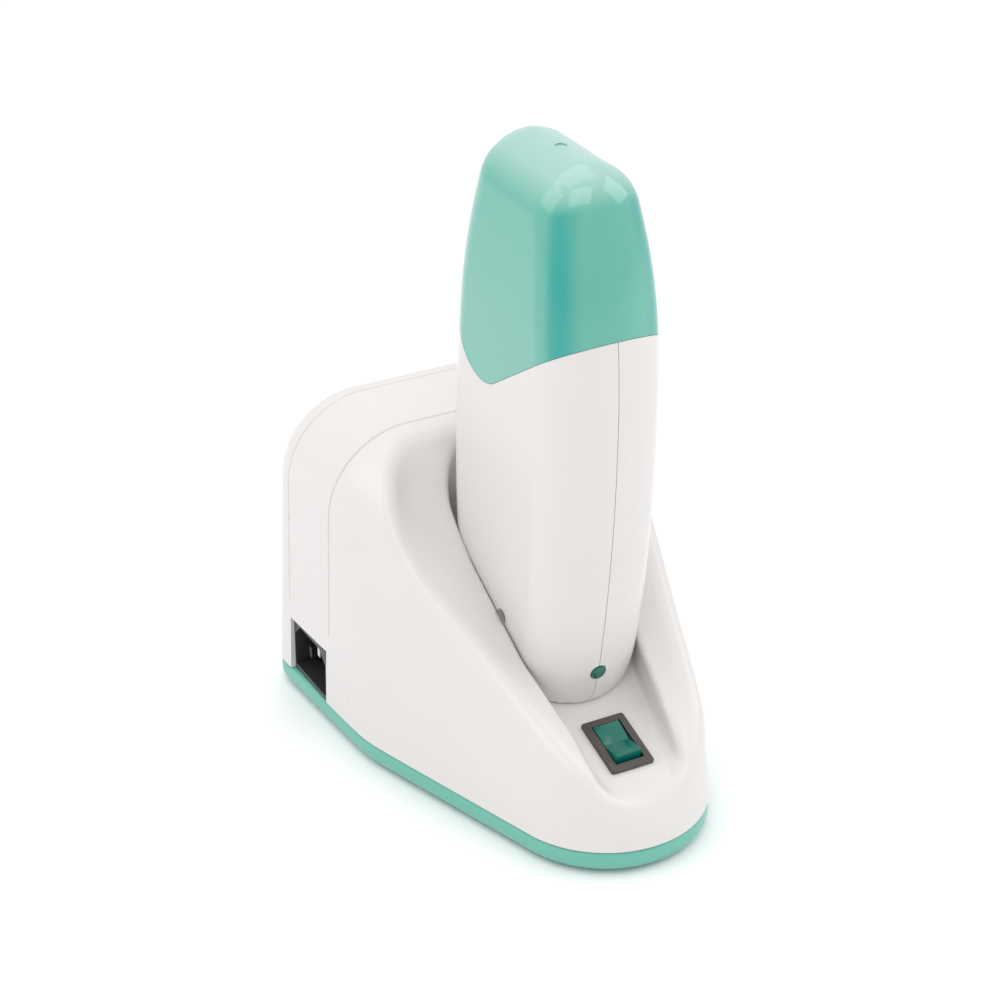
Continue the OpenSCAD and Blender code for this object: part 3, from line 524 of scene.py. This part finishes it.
def bezel_piece():
    """The switch's frame: a bevelled rim round a pocket, with its body below."""
    bm = block((-BEZEL_W / 2, -BEZEL_L / 2, 0), (BEZEL_W / 2, BEZEL_L / 2, BEZEL_T))
    posts = [e for e in bm.edges if abs(e.verts[0].co.z - e.verts[1].co.z) > 1.0]
    soften(bm, posts, 2 * SOFT_EDGE, 4)
    upper = [e for e in bm.edges if min(v.co.z for v in e.verts) > BEZEL_T - 0.01]
    soften(bm, upper, SOFT_EDGE)
    bezel = piece_from("bezel_skin", on_panel(bm))
    stem = block((-STEM_W / 2, -STEM_L / 2, -STEM_DEEP), (STEM_W / 2, STEM_L / 2, 0.5))
    cut(bezel, piece_from("stem", on_panel(stem)), "UNION")
    wide, long = ROCKER_W / 2 + POCKET_SIDE, ROCKER_L / 2 + POCKET_END
    pocket = block((-wide, -long, -POCKET_DEEP), (wide, long, 8.0))
    cut(bezel, piece_from("pocket", on_panel(pocket)))
    reach = ROCKER_W / 2 + PIVOT_OUT + 0.15
    pivot = across(rod(PIVOT_R + 0.05, -reach, reach, 24))
    cut(bezel, piece_from("pivot_hole", on_panel(pivot, -PIVOT_DROP)))
    return hand_over(bezel, "dock", "switch_plastic", bezel_paint("bezel_brown"),
                     "switch_body", crisp=25.0)


def jewel_piece():
    """The lamp's cut-glass lens: a barrel, a crown of small facets and a flat table."""
    bm = rod(LED_R, -6.2, 0.3, 12)
    for rise, spread in ((0.42, 0.80), (0.26, 0.68)):
        table = max(bm.faces, key=lambda f: f.calc_center_median().z)
        bmesh.ops.inset_region(bm, faces=[table], thickness=0.01)
        bmesh.ops.translate(bm, vec=(0, 0, rise), verts=table.verts)
        bmesh.ops.scale(bm, vec=(spread, spread, 1.0), verts=table.verts)
        bmesh.ops.rotate(bm, cent=(0, 0, 0), matrix=Matrix.Rotation(math.radians(15), 3, "Z"),
                         verts=table.verts)
    bmesh.ops.triangulate(bm, faces=[f for f in bm.faces if len(f.verts) == 4
                                     and f.calc_center_median().z > 0.3])
    jewel = piece_from("jewel_skin", at_led(bm))
    return hand_over(jewel, "handset", "lens_plastic", jewel_paint("jewel_green"),
                     "indicator_lens", crisp=5.0)


# ---------- finishes ----------
GRAIN_SCALE = 2600.0


def sockets(group, outs, ins):
    """Gives a node group its outputs, and its inputs with their first values."""
    for name, kind, value in ins:
        made = group.interface.new_socket(name=name, in_out="INPUT", socket_type=kind)
        made.default_value = value
    for name, kind in outs:
        group.interface.new_socket(name=name, in_out="OUTPUT", socket_type=kind)


class Nodes:
    """Short calls that add and link nodes in one tree."""

    def __init__(self, tree):
        self.tree = tree

    def add(self, kind, links=None, **values):
        node = self.tree.nodes.new(kind)
        for key, value in values.items():
            setattr(node, key, value)
        for key, value in (links or {}).items():
            if isinstance(value, bpy.types.NodeSocket):
                self.tree.links.new(value, node.inputs[key])
            else:
                node.inputs[key].default_value = value
        return node


def satin_group():
    """Moulded plastic: fine grain, slight unevenness of sheen and faint dust of tone."""
    group = bpy.data.node_groups.new("moulded_satin", "ShaderNodeTree")
    sockets(group, (("Tone", "NodeSocketFloat"), ("Sheen", "NodeSocketFloat"),
                    ("Height", "NodeSocketFloat")),
            (("Grain Scale", "NodeSocketFloat", GRAIN_SCALE), ("Patch Scale", "NodeSocketFloat", 28.0),
             ("Low Sheen", "NodeSocketFloat", 0.3), ("High Sheen", "NodeSocketFloat", 0.4)))
    n = Nodes(group)
    data = group.nodes.new("NodeGroupInput")
    out = group.nodes.new("NodeGroupOutput")
    where = n.add("ShaderNodeTexCoord")
    grain = n.add("ShaderNodeTexNoise", {"Vector": where.outputs["Object"], "Detail": 3.0,
                                         "Scale": data.outputs["Grain Scale"]})
    patch = n.add("ShaderNodeTexNoise", {"Vector": where.outputs["Object"], "Detail": 4.0,
                                         "Scale": data.outputs["Patch Scale"]})
    sheen = n.add("ShaderNodeMapRange", {"Value": patch.outputs["Fac"], "From Min": 0.3,
                                         "From Max": 0.7, "To Min": data.outputs["Low Sheen"],
                                         "To Max": data.outputs["High Sheen"]})
    group.links.new(patch.outputs["Fac"], out.inputs["Tone"])
    group.links.new(sheen.outputs["Result"], out.inputs["Sheen"])
    group.links.new(grain.outputs["Fac"], out.inputs["Height"])
    return group


def paint(name, low, high, sheen=(0.3, 0.4), grain=0.02, patch_scale=28.0, **extra):
    """A plastic or metal finish: colour between two tones, grain as a faint bump."""
    made = bpy.data.materials.new(name)
    made.use_nodes = True
    n = Nodes(made.node_tree)
    skin_ = made.node_tree.nodes["Principled BSDF"]
    shared = bpy.data.node_groups.get("moulded_satin") or satin_group()
    satin = n.add("ShaderNodeGroup", node_tree=shared)
    for key, value in (("Grain Scale", GRAIN_SCALE), ("Patch Scale", patch_scale),
                       ("Low Sheen", sheen[0]), ("High Sheen", sheen[1])):
        satin.inputs[key].default_value = value
    tone = n.add("ShaderNodeMix", {"Factor": satin.outputs["Tone"]}, data_type="RGBA")
    tone.inputs["A"].default_value = (*low, 1.0)
    tone.inputs["B"].default_value = (*high, 1.0)
    bump = n.add("ShaderNodeBump", {"Height": satin.outputs["Height"], "Strength": grain,
                                    "Distance": 0.0002})
    made.node_tree.links.new(tone.outputs[2], skin_.inputs["Base Color"])
    made.node_tree.links.new(satin.outputs["Sheen"], skin_.inputs["Roughness"])
    made.node_tree.links.new(bump.outputs["Normal"], skin_.inputs["Normal"])
    for key, value in extra.items():
        skin_.inputs[key.replace("_", " ")].default_value = value
    return made


def white_paint(name):
    return paint(name, (0.675, 0.645, 0.628), (0.705, 0.675, 0.656), (0.22, 0.29), 0.06)


def mint_paint(name):
    return paint(name, (0.135, 0.435, 0.345), (0.145, 0.455, 0.362), (0.25, 0.33), 0.06)


def painted_shade_highlight_masks():
    """Masks on the surface's direction: painted shade on the upright corners and a painted highlight
    on the top, standing in for how a clear tinted wall looks.
    """
    group = bpy.data.node_groups.new("painted_corner_shade_top_highlight", "ShaderNodeTree")
    sockets(group, (("Corner", "NodeSocketFloat"), ("Top", "NodeSocketFloat")),
            (("Corner From", "NodeSocketFloat", 0.32), ("Top From", "NodeSocketFloat", 0.25)))
    n = Nodes(group)
    data = group.nodes.new("NodeGroupInput")
    out = group.nodes.new("NodeGroupOutput")
    where = n.add("ShaderNodeTexCoord")
    face = n.add("ShaderNodeSeparateXYZ", {"Vector": where.outputs["Normal"]})
    turn = n.add("ShaderNodeMath", {0: face.outputs["X"], 1: face.outputs["Y"]},
                 operation="MULTIPLY")
    turn = n.add("ShaderNodeMath", {0: turn.outputs[0]}, operation="ABSOLUTE")
    # corner mask: where painted shade is laid on the upright corners
    corner = n.add("ShaderNodeMapRange", {"Value": turn.outputs[0], "To Max": 1.0,
                                          "From Min": data.outputs["Corner From"],
                                          "From Max": 0.5}, interpolation_type="SMOOTHSTEP")
    # top mask: where a painted highlight is laid on the upward faces
    top = n.add("ShaderNodeMapRange", {"Value": face.outputs["Z"], "To Max": 1.0,
                                       "From Min": data.outputs["Top From"],
                                       "From Max": 0.95}, interpolation_type="SMOOTHSTEP")
    group.links.new(corner.outputs["Result"], out.inputs["Corner"])
    group.links.new(top.outputs["Result"], out.inputs["Top"])
    return group


def cap_paint(name):
    """Tinted plastic. Its upright corners carry painted shade and its top a painted highlight,
    set by a mask on the surface's direction that imitates a clear wall; little light really passes."""
    made = paint(name, (0.135, 0.53, 0.42), (0.16, 0.57, 0.455), (0.08, 0.12), 0.01,
                 Coat_Weight=0.5, Coat_Roughness=0.05, Transmission_Weight=0.3, IOR=1.49)
    skin_ = made.node_tree.nodes["Principled BSDF"]
    n = Nodes(made.node_tree)
    wall = n.add("ShaderNodeGroup", node_tree=painted_shade_highlight_masks())
    plain = skin_.inputs["Base Color"].links[0].from_socket
    # painted shade: a deeper teal on the upright corners
    deep = n.add("ShaderNodeMix", {"Factor": wall.outputs["Corner"]}, data_type="RGBA")
    deep.inputs["B"].default_value = (0.022, 0.44, 0.385, 1.0)
    # painted highlight: a paler mint on the top
    pale = n.add("ShaderNodeMix", {"Factor": wall.outputs["Top"]}, data_type="RGBA")
    pale.inputs["B"].default_value = (0.44, 0.72, 0.64, 1.0)
    made.node_tree.links.new(plain, deep.inputs["A"])
    made.node_tree.links.new(deep.outputs[2], pale.inputs["A"])
    made.node_tree.links.new(pale.outputs[2], skin_.inputs["Base Color"])
    return made


def bezel_paint(name):
    return paint(name, (0.060, 0.050, 0.046), (0.075, 0.064, 0.058), (0.28, 0.38), 0.08)


def rocker_paint(name):
    return paint(name, (0.0, 0.145, 0.11), (0.001, 0.18, 0.14), (0.08, 0.13), 0.02,
                 Transmission_Weight=0.2, IOR=1.58)


def jewel_paint(name):
    return paint(name, (0.0, 0.105, 0.065), (0.002, 0.16, 0.10), (0.05, 0.09), 0.01,
                 Transmission_Weight=0.25, IOR=1.58)


def floor_paint():
    return paint("pale_floor", (0.93, 0.935, 0.94), (0.95, 0.955, 0.96), (0.6, 0.7), 0.02,
                 patch_scale=3.0)


CARRIED = {
    "rubber_feet": ((0.03, 0.03, 0.03), (0.045, 0.045, 0.045), (0.7, 0.85), 0.3, {}),
    "base_screws": ((0.42, 0.42, 0.43), (0.55, 0.55, 0.56), (0.25, 0.4), 0.1, {"Metallic": 1.0}),
    "inlet_body": ((0.022, 0.022, 0.024), (0.034, 0.034, 0.036), (0.35, 0.5), 0.15, {}),
    "inlet_pins": ((0.62, 0.60, 0.56), (0.74, 0.72, 0.68), (0.18, 0.3), 0.05, {"Metallic": 1.0}),
    "switch_terminals": ((0.62, 0.45, 0.2), (0.74, 0.56, 0.27), (0.25, 0.4), 0.1,
                         {"Metallic": 1.0}),
    "contact_block": ((0.05, 0.05, 0.05), (0.07, 0.07, 0.07), (0.4, 0.55), 0.15, {}),
    "contact_posts": ((0.66, 0.5, 0.24), (0.8, 0.63, 0.34), (0.15, 0.28), 0.05,
                      {"Metallic": 1.0}),
    "dock_leads": ((0.30, 0.06, 0.03), (0.38, 0.09, 0.05), (0.45, 0.6), 0.1, {}),
    "shell_screws": ((0.5, 0.5, 0.5), (0.62, 0.62, 0.62), (0.25, 0.4), 0.1, {"Metallic": 1.0}),
    "indicator_lamp": ((0.1, 0.3, 0.12), (0.14, 0.38, 0.18), (0.3, 0.4), 0.05, {}),
    "heating_chamber": ((0.58, 0.58, 0.57), (0.72, 0.72, 0.71), (0.28, 0.45), 0.2,
                        {"Metallic": 1.0}),
    "heater_plates": ((0.52, 0.42, 0.28), (0.62, 0.5, 0.36), (0.6, 0.75), 0.3, {}),
    "thermostat": ((0.5, 0.5, 0.49), (0.62, 0.62, 0.6), (0.3, 0.45), 0.1, {"Metallic": 1.0}),
    "thermal_fuse": ((0.62, 0.56, 0.42), (0.7, 0.64, 0.5), (0.4, 0.5), 0.1, {}),
    "contact_socket": ((0.04, 0.04, 0.04), (0.06, 0.06, 0.06), (0.35, 0.5), 0.15, {}),
    "handset_leads": ((0.30, 0.06, 0.03), (0.38, 0.09, 0.05), (0.45, 0.6), 0.1, {}),
    "cartridge_body": ((0.66, 0.50, 0.20), (0.76, 0.60, 0.28), (0.22, 0.34), 0.05, {}),
    "roller_yoke": ((0.70, 0.70, 0.68), (0.76, 0.76, 0.74), (0.3, 0.4), 0.08, {}),
    "roller": ((0.72, 0.72, 0.71), (0.80, 0.80, 0.79), (0.18, 0.28), 0.05, {}),
}


def dress_carried():
    """Gives each node that is kept as drawn its own finish."""
    for name, (low, high, sheen, grain, extra) in CARRIED.items():
        finish = paint(name + "_finish", low, high, sheen, grain, **extra)
        node = bpy.data.objects[name]
        if node.material_slots:
            for place in node.material_slots:
                place.material = finish
        else:
            node.data.materials.append(finish)


# ---------- putting it together ----------
bpy.context.scene.view_settings.view_transform = "Standard"
studio()
dock_piece()
base_piece()
handset_pieces()
cap_piece()
rocker_piece()
bezel_piece()
jewel_piece()
dress_carried()
